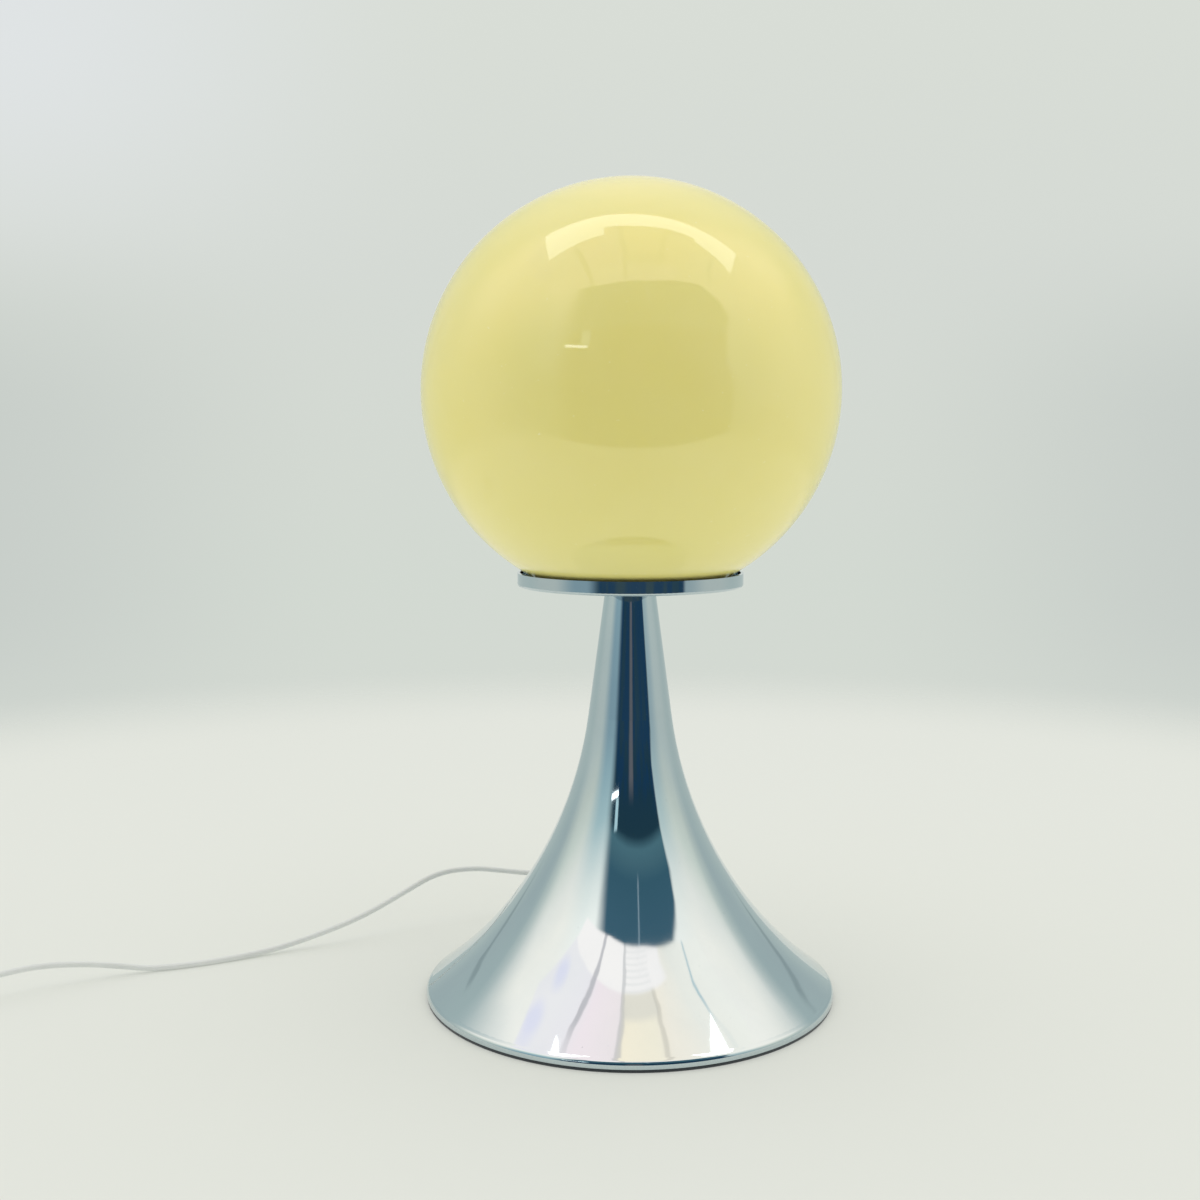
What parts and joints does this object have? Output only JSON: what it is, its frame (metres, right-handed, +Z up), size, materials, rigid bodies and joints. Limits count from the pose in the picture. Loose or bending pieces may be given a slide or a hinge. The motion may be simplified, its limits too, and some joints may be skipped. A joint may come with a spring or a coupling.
{
  "type": "glass globe table lamp",
  "caption": "Table lamp with an opal glass globe in a shallow dish on a chromed trumpet foot, with a white lead, an in-line rocker switch and a plug.",
  "frame": {"origin": "bottom centre of the base, where the felt pad stands on the table", "axes": "+Z up along the stem, -Y towards the viewer, +X to the viewer's right; the lead leaves the base at the back and runs to -X"},
  "size_m": [0.5973, 0.229, 0.3961],
  "materials": {
    "opal_glass": "glossy opal, pale yellow",
    "chrome_shell": "polished",
    "zinc_steel": "zinc plated",
    "spring_steel": "bright rolled",
    "cast_weight": "as cast, painted",
    "felt": "felt",
    "soft_rubber": "matt silicone",
    "dark_plastic": "phenolic black",
    "ceramic": "glazed porcelain",
    "brass": "bright",
    "pin_brass": "nickel plated brass",
    "white_plastic": "semi-gloss",
    "plug_white": "satin",
    "cord_white": "smooth soft jacket",
    "core_insulation": "smooth",
    "tie_plastic": "satin",
    "bulb_glass": "clear",
    "cap_nickel": "satin",
    "black_glass": "gloss",
    "stem_glass": "clear",
    "filament_yellow": "matt silicone"
  },
  "bodies": {
    "lamp": {"felt_pad": "felt", "base_weight": "cast_weight", "trumpet_shell": "chrome_shell", "threaded_tube": "zinc_steel", "bottom_nut": "zinc_steel", "neck_bush": "dark_plastic", "top_washer": "zinc_steel", "top_nut": "zinc_steel", "gallery_dish": "chrome_shell", "gallery_gasket": "soft_rubber", "globe_springs": "spring_steel", "spring_rivets": "spring_steel", "holder_cap": "dark_plastic", "holder_grub_screw": "zinc_steel", "holder_insert": "ceramic", "thread_shell": "brass", "centre_contact": "brass", "side_contact": "brass", "terminal_screws": "brass", "holder_skirt": "dark_plastic", "outlet_bush": "white_plastic", "outlet_relief": "cord_white", "cord_clamp": "zinc_steel", "clamp_screws": "zinc_steel", "inner_cord": "cord_white", "core_wires": "core_insulation", "cord_lead": "cord_white", "cord_coil": "cord_white", "cord_tail": "cord_white", "cord_end": "cord_white", "coil_tie": "tie_plastic", "switch_bottom": "white_plastic", "switch_top": "white_plastic", "switch_reliefs": "cord_white", "switch_contacts": "brass", "switch_screws": "zinc_steel", "plug_relief": "cord_white", "plug_body": "plug_white", "plug_pins": "pin_brass", "pin_sleeves": "dark_plastic"},
    "globe": {"globe_glass": "opal_glass"},
    "bulb": {"bulb_envelope": "bulb_glass", "bulb_cap": "cap_nickel", "bulb_insulator": "black_glass", "bulb_contact": "cap_nickel", "bulb_stem": "stem_glass", "bulb_filaments": "filament_yellow"},
    "rocker": {"switch_rocker": "white_plastic"}
  },
  "joints": [
    {"name": "globe_lift", "type": "slide", "parent": "lamp", "child": "globe", "axis": [0, 0, 1], "range_m": [0, 0.16]},
    {"name": "bulb_unscrew", "type": "slide", "parent": "lamp", "child": "bulb", "axis": [0, 0, 1], "range_m": [0, 0.03]},
    {"name": "rocker_tilt", "type": "hinge", "parent": "lamp", "child": "rocker", "pos_m": [-0.403, -0.038, 0.0155], "axis": [0, -1, 0], "range_deg": [0, 24]}
  ]
}
